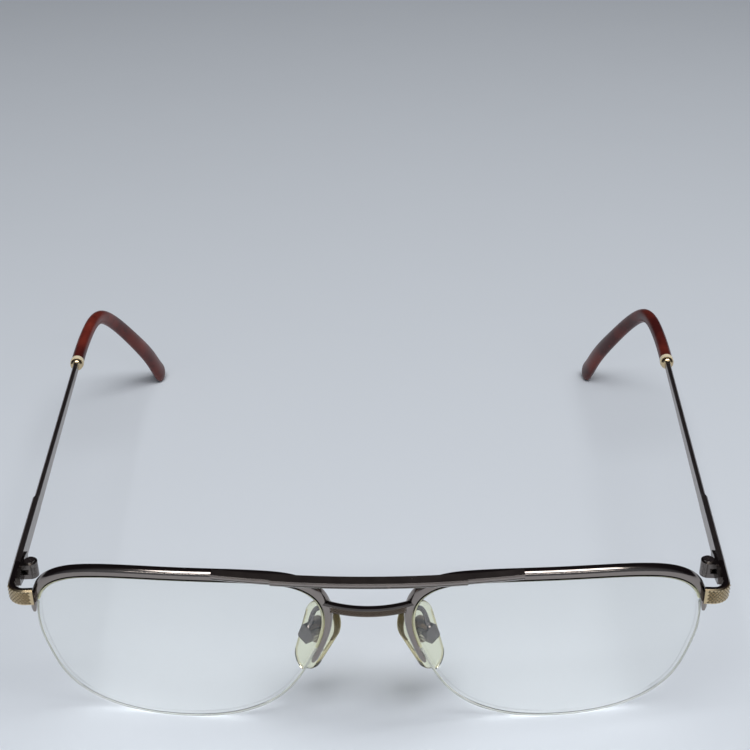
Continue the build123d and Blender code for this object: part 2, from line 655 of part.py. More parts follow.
# Screw box: a fork on the arm, either side of the tab.
box_plane = pad_plane(PLATE_RISE, BOX_OFFSET - BOX_DEPTH / 2, pad_out, pad_long)
box_block = extrude(box_plane * bevelled(BOX_HEIGHT, BOX_WIDTH, BOX_BEVEL), amount=BOX_DEPTH)
gap_plane = box_plane.offset(-CUT_OVERRUN)
gap_face = Rectangle(BOX_HEIGHT + CUT_OVERRUN, TAB_WIDTH + BOX_FIT * 2)
gap_cut = extrude(gap_plane * gap_face, amount=CUT_OVERRUN + BOX_DEPTH - BOX_WALL)
pad_box = box_block - gap_cut - pad_pin(PAD_PIN_RADIUS + CORE_CLEARANCE, -BOX_WIDTH, BOX_WIDTH)
two_sides("pad_box", pad_box)

# Pad screw, with its head outside one cheek of the box.
half_box = BOX_WIDTH / 2
pad_head = pad_pin(PAD_HEAD_RADIUS, -half_box - PAD_HEAD_HEIGHT, -half_box)
two_sides("pad_screw", pad_pin(PAD_PIN_RADIUS, -half_box, half_box) + pad_head)

# Pad arm: a bent wire from the back of the rim to the box.
arm_end_out = BOX_OFFSET + BOX_DEPTH / 2 - BOX_WALL
arm_end = pad_plane(PLATE_RISE + BOX_HEIGHT / 2 - ARM_RADIUS, arm_end_out, pad_out, pad_long).origin
arm_spots = [Vector(x, y, FRONT_HEIGHT - drop) for x, y, drop in ARM_DROPS]
arm_path = Edge.make_spline(arm_spots + [arm_end])
arm_plane = Plane(origin=arm_path.position_at(0), z_dir=arm_path.tangent_at(0))
arm = sweep(arm_plane * RegularPolygon(ARM_RADIUS, ARM_SIDES), path=arm_path)
pad_arm_all = arm - pad_box - rim_in_place
pad_arm = sorted(pad_arm_all.solids(), key=lambda solid: solid.volume)[-1]
two_sides("pad_arm", pad_arm)
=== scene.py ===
import json
import math

import bpy
import numpy as np
from mathutils import Matrix, Vector

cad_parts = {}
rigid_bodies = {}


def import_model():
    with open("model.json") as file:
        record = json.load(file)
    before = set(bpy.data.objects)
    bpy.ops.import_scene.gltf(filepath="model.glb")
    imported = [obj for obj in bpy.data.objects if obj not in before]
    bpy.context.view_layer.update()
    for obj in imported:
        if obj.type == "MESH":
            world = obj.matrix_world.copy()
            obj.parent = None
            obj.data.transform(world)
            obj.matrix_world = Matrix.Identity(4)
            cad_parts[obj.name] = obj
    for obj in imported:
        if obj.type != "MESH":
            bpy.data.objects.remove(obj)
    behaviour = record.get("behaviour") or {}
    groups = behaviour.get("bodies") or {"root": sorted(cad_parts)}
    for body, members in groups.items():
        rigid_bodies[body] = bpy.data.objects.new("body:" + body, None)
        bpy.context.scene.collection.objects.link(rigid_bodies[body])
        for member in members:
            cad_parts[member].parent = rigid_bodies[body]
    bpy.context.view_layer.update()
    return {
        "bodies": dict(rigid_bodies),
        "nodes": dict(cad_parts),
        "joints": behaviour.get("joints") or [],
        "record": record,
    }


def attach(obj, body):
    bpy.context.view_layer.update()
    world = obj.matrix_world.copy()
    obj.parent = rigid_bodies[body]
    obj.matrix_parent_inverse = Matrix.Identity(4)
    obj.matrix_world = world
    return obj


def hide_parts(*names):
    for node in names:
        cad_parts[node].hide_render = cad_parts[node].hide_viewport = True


bl_info = {
    "name": "Double bridge glasses",
    "version": (1, 1, 0),
    "blender": (4, 5, 0),
    "location": "3D View > Sidebar > Glasses",
    "description": "Finishes for half rim glasses with a brow bar, and their stage",
    "category": "Object",
}

# Shapes below are in millimetres, in the frames of the front and of one hinge.
MM = 0.001
FOOTPRINT_CENTRE_Y = 75.218
FRONT_HEIGHT = 37.917
FRONT_TILT = math.radians(12.0)
HINGE_SPOT = (68.0, 14.3, 35.1)
TEMPLE_SPLAY = math.radians(3.4)
MIRROR = Matrix.Scale(-1.0, 4, (1.0, 0.0, 0.0))
TO_METRES = Matrix.Scale(MM, 4) @ Matrix.Translation((0.0, -FOOTPRINT_CENTRE_Y, 0.0))
FRONT_PLACE = TO_METRES @ Matrix.Translation((0.0, 0.0, FRONT_HEIGHT)) @ Matrix.Rotation(FRONT_TILT, 4, "X")
HINGE_PLACE = TO_METRES @ Matrix.Translation(HINGE_SPOT) @ Matrix.Rotation(-TEMPLE_SPLAY, 4, "Z")

# Frame of the left lens in the front, and its edge as seen square on.
LENS_CENTRE = (37.0, 2.1, -15.0)
LENS_WRAP = math.radians(4.0)
LENS_FRONT_RADIUS = 110.0
LENS_MID_RADIUS = 109.0
LENS_SAG = 3.75
LENS_OUTLINE = (
    (28.7, 3.0), (28.2, 9.0), (26.7, 13.2), (23.0, 16.9), (15.8, 19.6),
    (7.5, 20.7), (-1.0, 21.0), (-9.5, 20.8), (-16.8, 20.0), (-22.8, 18.2),
    (-26.8, 14.7), (-28.4, 9.0), (-27.6, 3.2), (-25.3, -3.5), (-21.9, -10.9),
    (-16.8, -17.3), (-8.0, -22.4), (2.5, -24.0), (12.5, -23.5), (20.6, -20.1),
    (25.4, -13.9), (27.6, -5.6),
)

# Rim wire: shares of the lens outline where it ends, and its rounded section.
RIM_SHARES = (0.022, 0.512)
RIM_INNER = 0.20
RIM_OUTER = 1.55
RIM_HALF_DEPTH = 0.875
RIM_FRONT_ROUND = 0.90
RIM_BACK_ROUND = 0.40
RIM_CHANNEL = (0.75, 0.30)
RIM_LAPS = 3
LAP_STATIONS = 300
RIM_END_STEPS = 6
ROUND_STEPS = 8

# Knurled panel on the nose bridge.
BRIDGE_ARC_RADIUS = 24.147
BRIDGE_ARC_CENTRE_Y = 24.197
BRIDGE_FACE_OUT = 0.60
BRIDGE_HALF_TURN = math.radians(17.0)
BRIDGE_PATH_STEPS = 40
BRIDGE_MID_Z = -2.95
BRIDGE_STUDS = 23
BRIDGE_ROWS = 4
BRIDGE_ROW_PITCH = 0.38
BRIDGE_STUD_RISE = 0.34

# Knurled face of an end piece: straight from the rim, then round the bend.
STRAP_OUTER = 0.65
END_BEND_X = -0.4
END_BEND_Y = -6.1
END_BEND_RADIUS = 3.0
GOLD_MIN_OUT = 0.40
END_KNURL_START_X = -1.35
END_KNURL_TURN = math.radians(80.0)
END_PATH_STEPS = 24
END_STUDS = 8
END_ROWS = 7
END_STUD_RISE = 0.22
END_ROW_PITCH = 0.42

# Studs of both knurls: their sides, and how far along its step each one stands.
STUD_SIDES = 4
STUD_STAGGER_SHARE = 0.5
STUD_START_SHARE = 0.25

# Hinge screw, from its head down.
SCREW_HEAD_RADIUS = 1.05
SCREW_HEAD_LOW = 1.70
SCREW_HEAD_TOP = 2.08
SCREW_SHANK_RADIUS = 0.55
SCREW_SHANK_LOW = -1.85
SLOT_HALF_WIDTH = 0.17
SLOT_DEPTH = 0.22
SCREW_SLOT_TURN = math.radians(60.0)

# Domed ferrule, as radius and place along the temple.
FERRULE_NOSE = (0.80, 84.50)
FERRULE_DOME = (1.60, 85.35)
FERRULE_NECK = ((1.60, 85.40), (1.50, 85.46), (1.50, 85.56), (1.62, 85.62), (1.62, 85.80))
TEMPLE_LINE = (2.60, -0.60)
DOME_STEPS = 8

# Curved tip: the points its middle runs through, and its oval section.
TIP_POINTS = (
    (2.60, 87.1, -0.60), (2.20, 103.0, -0.80), (0.40, 115.0, -2.20), (-2.20, 121.5, -7.40),
    (-6.30, 127.5, -16.30), (-10.00, 134.0, -26.60), (-11.50, 137.0, -32.13),
)
TIP_START_RUN = (0.0, 1.0, 0.0)
TIP_END_RUN = (-0.24, 0.52, -0.82)
TIP_HALF_THICK = 1.60
TIP_HALF_TALL = (1.60, 3.08)
TIP_CAP_LENGTH = 2.80
TIP_STATIONS = 72
TIP_SIDES = 40
CAP_STEPS = 8

# Nose pad and its screw, placed in the whole part's frame.
PAD_CENTRE = (10.9, 12.4, 19.6)
PAD_LONG_AXIS = (-0.34, 0.0, 0.94)
PAD_SPLAY = math.radians(47.0)
PAD_TOP = (4.0, 4.7)
PAD_LOW = (-5.2, 3.5)
PAD_HALF_THICK = 1.15
PAD_ROUND = 0.95
PAD_SIDES = 72
PAD_EDGE_STEPS = 6
# Shares of the pad tint on its rounded edge: a darker copy of the clear plastic, painted shade for the dark
# outline a clear edge shows.
PAD_EDGE_PAINTED_SHADE_SHARES = (0.72, 0.62, 0.40)
PAD_PLATE_RISE = 2.6
PAD_PIN_OUT = 3.2
PAD_HALF_BOX = 1.45
PAD_SCREW_RADIUS = 0.80
PAD_SCREW_HEIGHT = 0.35
PAD_SHANK_RADIUS = 0.40

# Fineness of round and smooth shapes, and the angle past which an edge stays sharp.
ROUND_SIDES = 48
SPLINE_STEPS = 40
SHARP_ANGLE = math.radians(34.0)

# Surface detail: noise scales, spreads of polish, shares of a colour and light's index.
METAL_SHADE_SCALE = 180.0
METAL_POLISH_SCALE = 320.0
METAL_GRAIN_SCALE = 2200.0
METAL_GRAIN_DISTANCE = 0.00001
METAL_SHADE_SHARE = 0.86
CLEAR_SHADE_SCALE = 120.0
CLEAR_SMEAR_SCALE = 90.0
CLEAR_SMEAR_BAND = (0.45, 0.8)
CLEAR_SMEAR_ROUGHNESS = 0.03
CLEAR_SHADE_SHARE = 0.985
SATIN_POLISH_SPREAD = 0.1
TIP_SPECK_SHARE = 0.6
TIP_POLISH_SPREAD = 0.12
TIP_ROUGHNESS = 0.30
TIP_COAT = 0.1
TIP_COAT_SPREAD = 0.1
PAPER_POLISH_SPREAD = 0.1
PAPER_ROUGHNESS = 0.7
LENS_INDEX = 1.5
PAD_INDEX = 1.40
TIP_INDEX = 1.35

# Colours of single finishes; pairs are the two ends of a mottle.
HINGE_PLATING = (0.17, 0.15, 0.14)
PAD_CORE = (0.30, 0.25, 0.19)
BRONZE = (0.30, 0.24, 0.19)
SCREW_METAL = (0.62, 0.58, 0.53)
TEMPLE_PLATING = (0.36, 0.325, 0.305)
RING_CREAMS = ((0.72, 0.62, 0.42), (0.82, 0.74, 0.55))
TIP_REDS = ((0.055, 0.008, 0.007), (0.20, 0.030, 0.018))
TIP_SPECK = (0.035, 0.008, 0.006)
LENS_TINT = (0.985, 0.995, 0.98)
LINER_YELLOWS = ((0.75, 0.72, 0.42), (0.82, 0.8, 0.55))
NYLON_SHADES = ((0.88, 0.89, 0.80), (0.94, 0.94, 0.88))

# Stage in metres, with the camera's lens and sensor in millimetres.
FLOOR_SIZE = 3.0
FLOOR_SHADE_SHARE = 1.04
ROOM_NEAR = (0.20, 0.22, 0.25, 1.0)
ROOM_FAR = (0.020, 0.016, 0.020, 1.0)
ROOM_BAND = (-0.75, -0.15)
ROOM_STRENGTH = 0.95
MAIN_LAMP_SIZE = (1.00, 0.50)
MAIN_LAMP_SPOT = (0.10, -0.42, 1.10)
STRIP_LAMP_SHARE = 0.08
STRIP_LAMP_SIZE = (1.10, 0.035)
STRIP_LAMP_SPOT = (0.0, -0.80, 0.60)
CAMERA_SPOT = (0.00305, -0.276598, 0.20224)
CAMERA_AZIMUTH = math.radians(-0.411)
CAMERA_ELEVATION = math.radians(29.625)
CAMERA_ROLL = math.radians(-0.355)
CAMERA_LENS = 64.491
CAMERA_SENSOR = 36.0
CAMERA_CLIP_START = 0.01

SIDES = (("left", 1), ("right", -1))
FRAME = {}


# Shader and geometry maths: sockets joined by plain operators.
class Wire:
    def __init__(self, tree, socket):
        self.tree = tree
        self.socket = socket

    def math(self, operation, other=None):
        node = self.tree.nodes.new("ShaderNodeMath")
        node.operation = operation
        feed(self.tree, self, node.inputs[0])
        if other is not None:
            feed(self.tree, other, node.inputs[1])
        return Wire(self.tree, node.outputs[0])

    def __add__(self, other):
        return self.math("ADD", other)

    def __sub__(self, other):
        return self.math("SUBTRACT", other)

    def __mul__(self, other):
        return self.math("MULTIPLY", other)

    def __truediv__(self, other):
        return self.math("DIVIDE", other)

    def sharpened(self, low, high):
        node = self.tree.nodes.new("ShaderNodeMapRange")
        node.clamp = True
        feed(self.tree, self, node.inputs["Value"])
        node.inputs["From Min"].default_value = low
        node.inputs["From Max"].default_value = high
        return Wire(self.tree, node.outputs["Result"])


def feed(tree, value, socket):
    if isinstance(value, Wire):
        tree.links.new(value.socket, socket)
    else:
        socket.default_value = value


class Finish:
    """A new principled material with helpers for procedural inputs."""

    def __init__(self, name):
        self.material = bpy.data.materials.new(name)
        self.material.use_nodes = True
        self.tree = self.material.node_tree
        self.tree.nodes.clear()
        self.surface = self.tree.nodes.new("ShaderNodeBsdfPrincipled")
        output = self.tree.nodes.new("ShaderNodeOutputMaterial")
        self.tree.links.new(self.surface.outputs[0], output.inputs["Surface"])
        self.place = self.tree.nodes.new("ShaderNodeTexCoord").outputs["Object"]

    def noise(self, scale, detail=3.0, stretch=(1.0, 1.0, 1.0)):
        mapping = self.tree.nodes.new("ShaderNodeMapping")
        mapping.inputs["Scale"].default_value = stretch
        self.tree.links.new(self.place, mapping.inputs["Vector"])
        node = self.tree.nodes.new("ShaderNodeTexNoise")
        node.inputs["Scale"].default_value = scale
        node.inputs["Detail"].default_value = detail
        self.tree.links.new(mapping.outputs[0], node.inputs["Vector"])
        return Wire(self.tree, node.outputs["Fac"])

    def mix(self, factor, first, second):
        node = self.tree.nodes.new("ShaderNodeMix")
        node.data_type = "RGBA"
        feed(self.tree, factor, node.inputs["Factor"])
        for index, colour in ((6, first), (7, second)):
            if isinstance(colour, Wire):
                self.tree.links.new(colour.socket, node.inputs[index])
            else:
                node.inputs[index].default_value = (*colour, 1.0)
        return Wire(self.tree, node.outputs[2])

    def set(self, name, value):
        if isinstance(value, tuple) and len(value) == 3 and "Color" in name:
            value = (*value, 1.0)
        feed(self.tree, value, self.surface.inputs[name])

    def bump(self, height, distance, strength):
        node = self.tree.nodes.new("ShaderNodeBump")
        node.inputs["Strength"].default_value = strength
        node.inputs["Distance"].default_value = distance
        feed(self.tree, height, node.inputs["Height"])
        self.tree.links.new(node.outputs[0], self.surface.inputs["Normal"])


def metal(name, colour, rough, spread=0.08, grain=(1.0, 1.0, 1.0), grain_depth=0.1):
    """Plated metal, a little uneven in colour and polish; grain stretches its fine lines."""
    finish = Finish(name)
    deeper = tuple(part * METAL_SHADE_SHARE for part in colour)
    finish.set("Base Color", finish.mix(finish.noise(METAL_SHADE_SCALE, detail=4.0), colour, deeper))
    finish.set("Roughness", finish.noise(METAL_POLISH_SCALE, detail=4.0) * spread + rough)
    finish.set("Metallic", 1.0)
    finish.bump(finish.noise(METAL_GRAIN_SCALE, stretch=grain), METAL_GRAIN_DISTANCE, grain_depth)
    return finish.material


def clear(name, colour, rough, index):
    """Clear moulded or polished material with faint smears."""
    finish = Finish(name)
    shade = tuple(part * CLEAR_SHADE_SHARE for part in colour)
    finish.set("Base Color", finish.mix(finish.noise(CLEAR_SHADE_SCALE), colour, shade))
    smears = finish.noise(CLEAR_SMEAR_SCALE, detail=4.0).sharpened(*CLEAR_SMEAR_BAND)
    finish.set("Roughness", smears * CLEAR_SMEAR_ROUGHNESS + rough)
    finish.set("Transmission Weight", 1.0)
    finish.set("IOR", index)
    return finish.material


def satin(name, shades, scale, polish_scale, rough, clearness=0.0):
    """Moulded material mottled between two shades; clearness is how far light passes it."""
    finish = Finish(name)
    finish.set("Base Color", finish.mix(finish.noise(scale), *shades))
    finish.set("Roughness", finish.noise(polish_scale) * SATIN_POLISH_SPREAD + rough)
    finish.set("Transmission Weight", clearness)
    return finish.material


def nodes(*names):
    """The fixed pieces with these names, both sides of each pair."""
    found = []
    for name in names:
        for full in (name, name + "_left", name + "_right"):
            if full in FRAME["nodes"]:
                found.append(FRAME["nodes"][full])
    return found


def dress(material, *names):
    for piece in nodes(*names):
        piece.data.materials.clear()
        piece.data.materials.append(material)


def gild_front(piece, gold, side):
    """Gold on the outer face of an end piece, from the rim round most of the bend."""
    piece.data.materials.append(gold)
    back = HINGE_PLACE.inverted() @ (MIRROR if side < 0 else Matrix.Identity(4))
    for face in piece.data.polygons:
        spot = back @ face.center
        reach = Vector((max(0.0, spot.x - END_BEND_X), spot.y - END_BEND_Y))
        turn = math.atan2(reach.x, -reach.y)
        if reach.length > END_BEND_RADIUS + GOLD_MIN_OUT and turn < END_KNURL_TURN:
            face.material_index = 1


def build(name, points, faces, place, material, side=1):
    """A mesh object from local points, put in its place in metres, mirrored for side -1."""
    matrix = MIRROR @ place if side < 0 else place
    spots = [matrix @ Vector(point) for point in points]
    turned = [tuple(reversed(face)) for face in faces] if side < 0 else faces
    mesh = bpy.data.meshes.new(name)
    mesh.from_pydata(spots, [], turned)
    mesh.materials.append(material)
    for face in mesh.polygons:
        face.use_smooth = True
    mesh.set_sharp_from_angle(angle=SHARP_ANGLE)
    piece = bpy.data.objects.new(name, mesh)
    bpy.context.scene.collection.objects.link(piece)
    return piece


def skin(rings):
    """Faces over rings of points, each ring as long as the last, closed at both ends."""
    count = len(rings[0])
    points = [point for ring in rings for point in ring]
    faces = []
    for level in range(len(rings) - 1):
        for i in range(count):
            j = (i + 1) % count
            low = level * count
            faces.append((low + i, low + j, low + count + j, low + count + i))
    faces.append(tuple(reversed(range(count))))
    faces.append(tuple(range(len(points) - count, len(points))))
    return points, faces


def joined(*parts):
    """Points and faces of several shapes as one."""
    points, faces = [], []
    for more_points, more_faces in parts:
        start = len(points)
        points += more_points
        faces += [tuple(start + i for i in face) for face in more_faces]
    return points, faces


def prism(outline, low, high):
    return skin([[(x, y, low) for x, y in outline], [(x, y, high) for x, y in outline]])


def circle(radius):
    turns = [math.tau * i / ROUND_SIDES for i in range(ROUND_SIDES)]
    return [(radius * math.cos(turn), radius * math.sin(turn)) for turn in turns]


def slotted_screw(radius, low, top, shank_radius, shank_low, slot_turn):
    """Round head with a straight slot, and a plain shank under it."""
    edge = math.asin(SLOT_HALF_WIDTH / radius)
    half_turns = [edge + (math.pi - edge * 2) * i / ROUND_SIDES for i in range(ROUND_SIDES + 1)]
    parts = [prism(circle(radius), low, top - SLOT_DEPTH), prism(circle(shank_radius), shank_low, low)]
    for way in (0.0, math.pi):
        turns = [turn + way + slot_turn for turn in half_turns]
        lip = [(radius * math.cos(turn), radius * math.sin(turn)) for turn in turns]
        parts.append(prism(lip, top - SLOT_DEPTH, top))
    return joined(*parts)


def knurl_tree(stud_width, stud_rise, row_pitch):
    """Geometry nodes that set staggered four sided studs along a path."""
    tree = bpy.data.node_groups.new("knurl", "GeometryNodeTree")
    tree.interface.new_socket("Geometry", in_out="OUTPUT", socket_type="NodeSocketGeometry")
    tree.interface.new_socket("Path", in_out="INPUT", socket_type="NodeSocketGeometry")
    inputs = (("Studs", "NodeSocketInt"), ("Rows", "NodeSocketInt"), ("Metal", "NodeSocketMaterial"))
    for label, kind in inputs:
        tree.interface.new_socket(label, in_out="INPUT", socket_type=kind)
    start = tree.nodes.new("NodeGroupInput")
    end = tree.nodes.new("NodeGroupOutput")
    studs = Wire(tree, start.outputs["Studs"])
    rows = Wire(tree, start.outputs["Rows"])
    curve = tree.nodes.new("GeometryNodeMeshToCurve")
    tree.links.new(start.outputs["Path"], curve.inputs[0])
    spots = tree.nodes.new("GeometryNodePoints")
    feed(tree, studs * rows, spots.inputs["Count"])
    index = Wire(tree, tree.nodes.new("GeometryNodeInputIndex").outputs[0])
    row = (index / studs).math("FLOOR")
    column = index - row * studs
    stagger = row.math("MODULO", 2.0) * STUD_STAGGER_SHARE
    sample = tree.nodes.new("GeometryNodeSampleCurve")
    sample.mode = "FACTOR"
    sample.use_all_curves = True
    tree.links.new(curve.outputs[0], sample.inputs["Curves"])
    feed(tree, (column + stagger + STUD_START_SHARE) / studs, sample.inputs["Factor"])
    rise = tree.nodes.new("ShaderNodeCombineXYZ")
    middle_row = (rows - 1.0) * 0.5
    feed(tree, (row - middle_row) * row_pitch, rise.inputs["Z"])
    place = tree.nodes.new("ShaderNodeVectorMath")
    tree.links.new(sample.outputs["Position"], place.inputs[0])
    tree.links.new(rise.outputs[0], place.inputs[1])
    outward = tree.nodes.new("ShaderNodeVectorMath")
    outward.operation = "CROSS_PRODUCT"
    tree.links.new(sample.outputs["Tangent"], outward.inputs[0])
    outward.inputs[1].default_value = (0.0, 0.0, 1.0)
    stand = tree.nodes.new("FunctionNodeAlignRotationToVector")
    stand.axis = "Z"
    tree.links.new(outward.outputs[0], stand.inputs["Vector"])
    along = tree.nodes.new("FunctionNodeAlignRotationToVector")
    along.axis = "X"
    along.pivot_axis = "Z"
    tree.links.new(stand.outputs[0], along.inputs["Rotation"])
    tree.links.new(sample.outputs["Tangent"], along.inputs["Vector"])
    moved = tree.nodes.new("GeometryNodeSetPosition")
    tree.links.new(spots.outputs[0], moved.inputs["Geometry"])
    tree.links.new(place.outputs[0], moved.inputs["Position"])
    stud = tree.nodes.new("GeometryNodeMeshCone")
    stud.inputs["Vertices"].default_value = STUD_SIDES
    stud.inputs["Radius Top"].default_value = 0.0
    stud.inputs["Radius Bottom"].default_value = stud_width
    stud.inputs["Depth"].default_value = stud_rise
    copies = tree.nodes.new("GeometryNodeInstanceOnPoints")
    tree.links.new(moved.outputs[0], copies.inputs["Points"])
    tree.links.new(stud.outputs["Mesh"], copies.inputs["Instance"])
    tree.links.new(along.outputs[0], copies.inputs["Rotation"])
    copies.inputs["Scale"].default_value = (1.0, row_pitch / stud_width, 1.0)
    real = tree.nodes.new("GeometryNodeRealizeInstances")
    tree.links.new(copies.outputs[0], real.inputs[0])
    painted = tree.nodes.new("GeometryNodeSetMaterial")
    tree.links.new(real.outputs[0], painted.inputs["Geometry"])
    tree.links.new(start.outputs["Metal"], painted.inputs["Material"])
    tree.links.new(painted.outputs[0], end.inputs[0])
    return tree


def knurl(name, path, studs, rows, row_pitch, stud_rise, place, material, side=1):
    """Knurling along a path of local points, as a plain mesh in its place."""
    length = sum((Vector(b) - Vector(a)).length for a, b in zip(path, path[1:]))
    tree = knurl_tree(length / studs / 2, stud_rise, row_pitch)
    mesh = bpy.data.meshes.new(name)
    mesh.from_pydata(path, [(i, i + 1) for i in range(len(path) - 1)], [])
    host = bpy.data.objects.new(name, mesh)
    bpy.context.scene.collection.objects.link(host)
    modifier = host.modifiers.new("knurl", "NODES")
    modifier.node_group = tree
    values = {"Studs": studs, "Rows": rows, "Metal": material}
    for item in tree.interface.items_tree:
        if item.name in values:
            modifier[item.identifier] = values[item.name]
    graph = bpy.context.evaluated_depsgraph_get()
    made = bpy.data.meshes.new_from_object(host.evaluated_get(graph))
    bpy.data.objects.remove(host)
    if len(made.polygons) < studs * rows:
        raise RuntimeError("the knurl of " + name + " came out empty")
    points = [tuple(vertex.co) for vertex in made.vertices]
    faces = [tuple(face.vertices) for face in made.polygons]
    return build(name, points, faces, place, material, side)


def arc_points(centre, radius, start, stop, steps):
    """Points of an arc in plan; turn 0 faces forward, and grows to the left."""
    found = []
    for i in range(steps + 1):
        turn = start + (stop - start) * i / steps
        across, forward = radius * math.sin(turn), radius * math.cos(turn)
        found.append((centre[0] + across, centre[1] - forward, centre[2]))
    return found


def smooth_path(points, start_run, end_run, stations):
    """Evenly spaced points and directions along a smooth curve through the given points."""
    spots = np.array(points)
    gaps = np.linalg.norm(np.diff(spots, axis=0), axis=1)
    count = len(spots)
    system = np.zeros((count, count))
    known = np.zeros((count, 3))
    system[0, 0] = system[-1, -1] = 1.0
    known[0] = np.array(start_run) / np.linalg.norm(start_run)
    known[-1] = np.array(end_run) / np.linalg.norm(end_run)
    for i in range(1, count - 1):
        before, after = gaps[i - 1], gaps[i]
        system[i, i - 1:i + 2] = (1 / before, 2 / before + 2 / after, 1 / after)
        known[i] = 3 * ((spots[i] - spots[i - 1]) / before**2 + (spots[i + 1] - spots[i]) / after**2)
    runs = np.linalg.solve(system, known)
    fine = []
    for i in range(count - 1):
        leave, arrive = gaps[i] * runs[i], gaps[i] * runs[i + 1]
        for t in np.linspace(0, 1, SPLINE_STEPS, endpoint=i == count - 2):
            start = (2 * t**3 - 3 * t**2 + 1) * spots[i] + (t**3 - 2 * t**2 + t) * leave
            stop = (3 * t**2 - 2 * t**3) * spots[i + 1] + (t**3 - t**2) * arrive
            fine.append(start + stop)
    fine = np.array(fine)
    along = np.concatenate([[0.0], np.cumsum(np.linalg.norm(np.diff(fine, axis=0), axis=1))])
    wanted = np.linspace(0, along[-1], stations)
    even = np.stack([np.interp(wanted, along, fine[:, k]) for k in range(3)], axis=1)
    headings = np.gradient(even, axis=0)
    headings[0], headings[-1] = known[0], known[-1]
    return [Vector(spot) for spot in even], [Vector(run).normalized() for run in headings]


def rim_section():
    """Section of the rim wire as outward offset and depth, rounded towards the front."""
    section = [(RIM_INNER, RIM_HALF_DEPTH)]
    for radius, way in ((RIM_FRONT_ROUND, 1), (RIM_BACK_ROUND, -1)):
        corner = []
        for i in range(ROUND_STEPS + 1):
            turn = math.pi / 2 * i / ROUND_STEPS
            across = RIM_OUTER - radius * (1 - math.sin(turn))
            corner.append((across, way * (RIM_HALF_DEPTH - radius * (1 - math.cos(turn)))))
        section += corner if way > 0 else list(reversed(corner))
    floor, half_width = RIM_CHANNEL
    section += [(RIM_INNER, -RIM_HALF_DEPTH), (RIM_INNER, -half_width), (floor, -half_width)]
    return section + [(floor, half_width), (RIM_INNER, half_width)]


def rim_shape():
    """Rim wire swept beside the lens outline over the lens sphere, with round ends."""
    across = Vector((math.cos(LENS_WRAP), math.sin(LENS_WRAP), 0.0))
    forward = Vector((math.sin(LENS_WRAP), -math.cos(LENS_WRAP), 0.0))
    centre = Vector(LENS_CENTRE) + forward * (LENS_SAG - LENS_FRONT_RADIUS)
    laps = [(a, b, 0.0) for a, b in LENS_OUTLINE * RIM_LAPS + LENS_OUTLINE[:1]]
    spots, runs = smooth_path(laps, (0.0, 1.0, 0.0), (0.0, 1.0, 0.0), LAP_STATIONS * RIM_LAPS + 1)
    section = rim_section()
    middle = (RIM_INNER + RIM_OUTER) / 2

    def ring(station, shift, squeeze):
        run = runs[station]
        out = Vector((run.y, -run.x, 0.0))
        points = []
        for offset, depth in section:
            flat = spots[station] + run * shift + out * (middle + (offset - middle) * squeeze)
            rise = math.sqrt((LENS_MID_RADIUS + depth) ** 2 - flat.x**2 - flat.y**2)
            points.append(centre + across * flat.x + Vector((0.0, 0.0, flat.y)) + forward * rise)
        return points

    start, stop = (LAP_STATIONS + round(share * LAP_STATIONS) for share in RIM_SHARES)
    half = (RIM_OUTER - RIM_INNER) / 2
    turns = [math.pi / 2 * i / RIM_END_STEPS for i in range(1, RIM_END_STEPS)]
    rings = [ring(start, -half * math.sin(turn), math.cos(turn)) for turn in reversed(turns)]
    rings += [ring(station, 0.0, 1.0) for station in range(start, stop + 1)]
    rings += [ring(stop, half * math.sin(turn), math.cos(turn)) for turn in turns]
    return skin(rings)


def oval_ring(spot, run, half_thick, half_tall):
    """Oval across a path; its thin way lies across the temple."""
    side = Vector((1.0, 0.0, 0.0))
    side = (side - run * run.x).normalized()
    rise = run.cross(side)
    ring = []
    for i in range(TIP_SIDES):
        turn = math.tau * i / TIP_SIDES
        ring.append(spot + side * (half_thick * math.cos(turn)) + rise * (half_tall * math.sin(turn)))
    return ring


def tip_shape():
    """The curved tip, swept through its points and rounded at its end."""
    spots, runs = smooth_path(TIP_POINTS, TIP_START_RUN, TIP_END_RUN, TIP_STATIONS)
    thin, tall = TIP_HALF_TALL
    rings = []
    for i, (spot, run) in enumerate(zip(spots, runs)):
        share = i / (TIP_STATIONS - 1)
        rings.append(oval_ring(spot, run, TIP_HALF_THICK, thin + (tall - thin) * share**2))
    for i in range(1, CAP_STEPS):
        turn = math.pi / 2 * i / CAP_STEPS
        spot = spots[-1] + runs[-1] * (TIP_CAP_LENGTH * math.sin(turn))
        rings.append(oval_ring(spot, runs[-1], TIP_HALF_THICK * math.cos(turn), tall * math.cos(turn)))
    return skin(rings)


def lathe(profile):
    """Profile of radius and place, turned about the temple's line."""
    middle_x, middle_z = TEMPLE_LINE
    rings = []
    for radius, y in profile:
        rings.append([(middle_x + a, y, middle_z + b) for a, b in circle(radius)])
    return skin(rings)


def ferrule_shape():
    """Domed metal ferrule with a fine groove before the pale ring."""
    (nose_radius, nose_y), (dome_radius, dome_y) = FERRULE_NOSE, FERRULE_DOME
    profile = []
    for i in range(DOME_STEPS + 1):
        turn = math.pi / 2 * i / DOME_STEPS
        radius = nose_radius + (dome_radius - nose_radius) * math.sin(turn)
        profile.append((radius, dome_y - (dome_y - nose_y) * math.cos(turn)))
    return lathe(profile + list(FERRULE_NECK))


def pad_axes():
    """Long, across and outward directions of the left nose pad."""
    long_way = Vector(PAD_LONG_AXIS).normalized()
    across = Vector((math.sin(PAD_SPLAY), math.cos(PAD_SPLAY), 0.0))
    across = (across - long_way * across.dot(long_way)).normalized()
    out = across.cross(long_way)
    return long_way, across, out if out.x > 0 else -out


def pad_place(origin, first, second, third):
    turn = Matrix((first, second, third)).transposed().to_4x4()
    return TO_METRES @ Matrix.Translation(origin) @ turn


